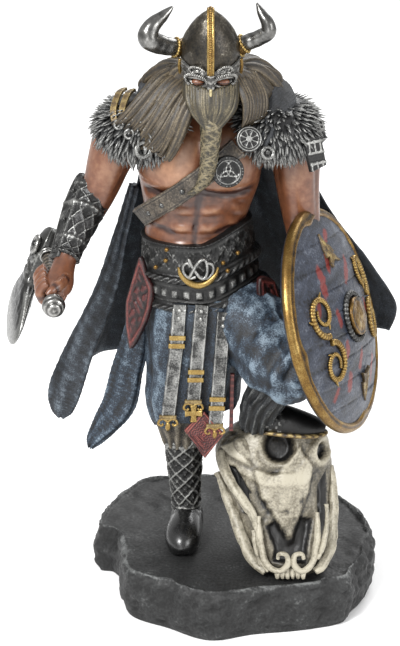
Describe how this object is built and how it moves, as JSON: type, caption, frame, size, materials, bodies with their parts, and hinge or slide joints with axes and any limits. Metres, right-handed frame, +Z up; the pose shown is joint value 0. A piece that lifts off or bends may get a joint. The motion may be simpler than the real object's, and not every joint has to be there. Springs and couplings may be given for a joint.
{
  "type": "viking warrior statue",
  "caption": "Cast figurine of a horned warrior with axe and round shield, one boot on a beast's skull, on a rock base.",
  "frame": {"origin": "middle of the rock base's flat underside", "axes": "+Z up through the figure, front towards -Y, the figure's own right hand towards -X"},
  "size_m": [0.163, 0.1138, 0.2526],
  "materials": {
    "rock": "matt charcoal paint, dry-brushed",
    "bone": "cream paint with dark wash",
    "cloth": "slate blue paint, dry-brushed",
    "silver": "silver paint over black",
    "shield_paint": "satin blue paint"
  },
  "bodies": {
    "root": {"rock_base": "rock", "beast_skull": "bone", "warrior": "cloth", "horn_left": "silver", "horn_right": "silver", "axe": "silver", "shield": "shield_paint"}
  },
  "joints": []
}
